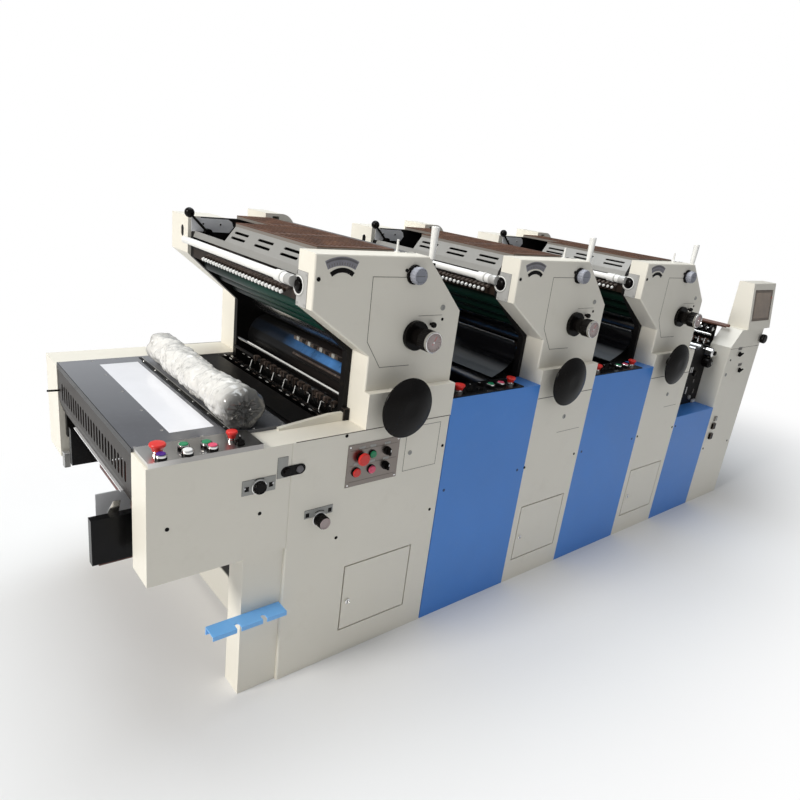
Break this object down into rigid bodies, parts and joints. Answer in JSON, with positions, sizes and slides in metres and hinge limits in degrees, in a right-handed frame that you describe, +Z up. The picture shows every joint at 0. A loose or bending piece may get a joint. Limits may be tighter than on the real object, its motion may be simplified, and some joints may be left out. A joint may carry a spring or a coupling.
{
  "type": "offset printing press",
  "caption": "Multi-tower sheet-fed offset printing press with handwheels, ink fountains, blue bridge covers, a slatted delivery and a feeder console.",
  "frame": {"origin": "on the floor under the middle of the press", "axes": "+X from the delivery end to the feeder end, -Y the operator side, +Z up"},
  "size_m": [3.475, 1.078, 1.4061],
  "materials": {
    "cream_paint": "satin",
    "blue_paint": "satin",
    "frame_black": "satin",
    "black_sheet": "gloss",
    "vent_brown": "satin",
    "table_grey": "gloss",
    "grille_brown": "satin",
    "louvre_grey": "satin",
    "acrylic": "gloss",
    "steel": "brushed",
    "chrome": "polished",
    "fountain_dark": "satin",
    "ink_green": "satin",
    "blanket_blue": "satin",
    "black_plastic": "gloss",
    "grey_plastic": "satin",
    "white_plastic": "gloss",
    "board_wood": "satin",
    "table_steel": "satin",
    "film_wrap": "gloss"
  },
  "bodies": {
    "root": {"base_frame": "frame_black", "bridge_panels": "blue_paint", "button_trays": "black_sheet", "console": "cream_paint", "control_plates": "steel", "delivery_cover": "table_grey", "delivery_deck": "frame_black", "delivery_sides": "cream_paint", "delivery_window": "acrylic", "drive_covers": "cream_paint", "drive_side_frame": "frame_black", "feed_table": "table_steel", "feeder_rollers": "steel", "feeder_sides": "cream_paint", "fountain_rollers": "white_plastic", "gripper_bars": "steel", "head_fittings": "black_plastic", "ink_fountains": "fountain_dark", "ink_keys": "chrome", "ink_rollers": "ink_green", "louvre_covers": "louvre_grey", "operator_cabinet_1": "cream_paint", "operator_cabinet_2": "cream_paint", "operator_cabinet_3": "cream_paint", "operator_head_1": "cream_paint", "operator_head_2": "cream_paint", "operator_head_3": "cream_paint", "operator_side_frame": "frame_black", "pile_board": "board_wood", "pile_guides": "black_sheet", "press_cylinders": "steel", "push_buttons": "black_plastic", "register_knobs": "grey_plastic", "sheet_guards": "frame_black", "step_bracket": "blue_paint", "top_grilles": "grille_brown", "vent_panel": "vent_brown", "wrapped_roller": "film_wrap"},
    "handwheel_1": {"handwheel_1": "black_plastic", "blanket_cylinder_1": "blanket_blue"},
    "access_door_1": {"access_door_1": "cream_paint"},
    "pressure_knob_1": {"pressure_knob_1": "black_plastic"},
    "throw_lever_1": {"throw_lever_1": "white_plastic"},
    "ball_lever_1": {"ball_lever_1": "black_plastic"},
    "handwheel_2": {"handwheel_2": "black_plastic", "blanket_cylinder_2": "blanket_blue"},
    "access_door_2": {"access_door_2": "cream_paint"},
    "pressure_knob_2": {"pressure_knob_2": "black_plastic"},
    "throw_lever_2": {"throw_lever_2": "white_plastic"},
    "ball_lever_2": {"ball_lever_2": "black_plastic"},
    "handwheel_3": {"handwheel_3": "black_plastic", "blanket_cylinder_3": "blanket_blue"},
    "access_door_3": {"access_door_3": "cream_paint"},
    "pressure_knob_3": {"pressure_knob_3": "black_plastic"},
    "throw_lever_3": {"throw_lever_3": "white_plastic"},
    "ball_lever_3": {"ball_lever_3": "black_plastic"}
  },
  "joints": [
    {"name": "handwheel_1_turn", "type": "hinge", "parent": "root", "child": "handwheel_1", "pos_m": [-0.8955, -0.474, 0.883], "axis": [0, 1, 0], "continuous": true},
    {"name": "access_door_1_hinge", "type": "hinge", "parent": "root", "child": "access_door_1", "pos_m": [-0.7645, -0.47, 0.101], "axis": [0, 0, 1], "range_deg": [0, 105]},
    {"name": "pressure_knob_1_turn", "type": "hinge", "parent": "root", "child": "pressure_knob_1", "pos_m": [-0.8415, -0.474, 1.087], "axis": [0, 1, 0], "range_deg": [-150, 150]},
    {"name": "throw_lever_1_tilt", "type": "hinge", "parent": "root", "child": "throw_lever_1", "pos_m": [-0.7775, -0.408, 1.29211], "axis": [0, 1, 0], "range_deg": [-20, 30]},
    {"name": "ball_lever_1_tilt", "type": "hinge", "parent": "root", "child": "ball_lever_1", "pos_m": [-1.1545, 0.39, 1.267], "axis": [0, 1, 0], "range_deg": [-10, 50]},
    {"name": "handwheel_2_turn", "type": "hinge", "parent": "root", "child": "handwheel_2", "pos_m": [-0.0955, -0.474, 0.883], "axis": [0, 1, 0], "continuous": true},
    {"name": "access_door_2_hinge", "type": "hinge", "parent": "root", "child": "access_door_2", "pos_m": [0.0955, -0.47, 0.101], "axis": [0, 0, 1], "range_deg": [0, 105]},
    {"name": "pressure_knob_2_turn", "type": "hinge", "parent": "root", "child": "pressure_knob_2", "pos_m": [-0.0415, -0.474, 1.087], "axis": [0, 1, 0], "range_deg": [-150, 150]},
    {"name": "throw_lever_2_tilt", "type": "hinge", "parent": "root", "child": "throw_lever_2", "pos_m": [0.0225, -0.408, 1.29211], "axis": [0, 1, 0], "range_deg": [-20, 30]},
    {"name": "ball_lever_2_tilt", "type": "hinge", "parent": "root", "child": "ball_lever_2", "pos_m": [-0.3545, 0.39, 1.267], "axis": [0, 1, 0], "range_deg": [-10, 50]},
    {"name": "handwheel_3_turn", "type": "hinge", "parent": "root", "child": "handwheel_3", "pos_m": [0.7045, -0.474, 0.883], "axis": [0, 1, 0], "continuous": true},
    {"name": "access_door_3_hinge", "type": "hinge", "parent": "root", "child": "access_door_3", "pos_m": [0.8955, -0.47, 0.101], "axis": [0, 0, 1], "range_deg": [0, 105]},
    {"name": "pressure_knob_3_turn", "type": "hinge", "parent": "root", "child": "pressure_knob_3", "pos_m": [0.7585, -0.474, 1.087], "axis": [0, 1, 0], "range_deg": [-150, 150]},
    {"name": "throw_lever_3_tilt", "type": "hinge", "parent": "root", "child": "throw_lever_3", "pos_m": [0.8225, -0.408, 1.29211], "axis": [0, 1, 0], "range_deg": [-20, 30]},
    {"name": "ball_lever_3_tilt", "type": "hinge", "parent": "root", "child": "ball_lever_3", "pos_m": [0.4455, 0.39, 1.267], "axis": [0, 1, 0], "range_deg": [-10, 50]}
  ],
  "couplings": [
    {"joint": "handwheel_2_turn", "follows": "handwheel_1_turn", "ratio": 1},
    {"joint": "handwheel_3_turn", "follows": "handwheel_1_turn", "ratio": 1}
  ]
}
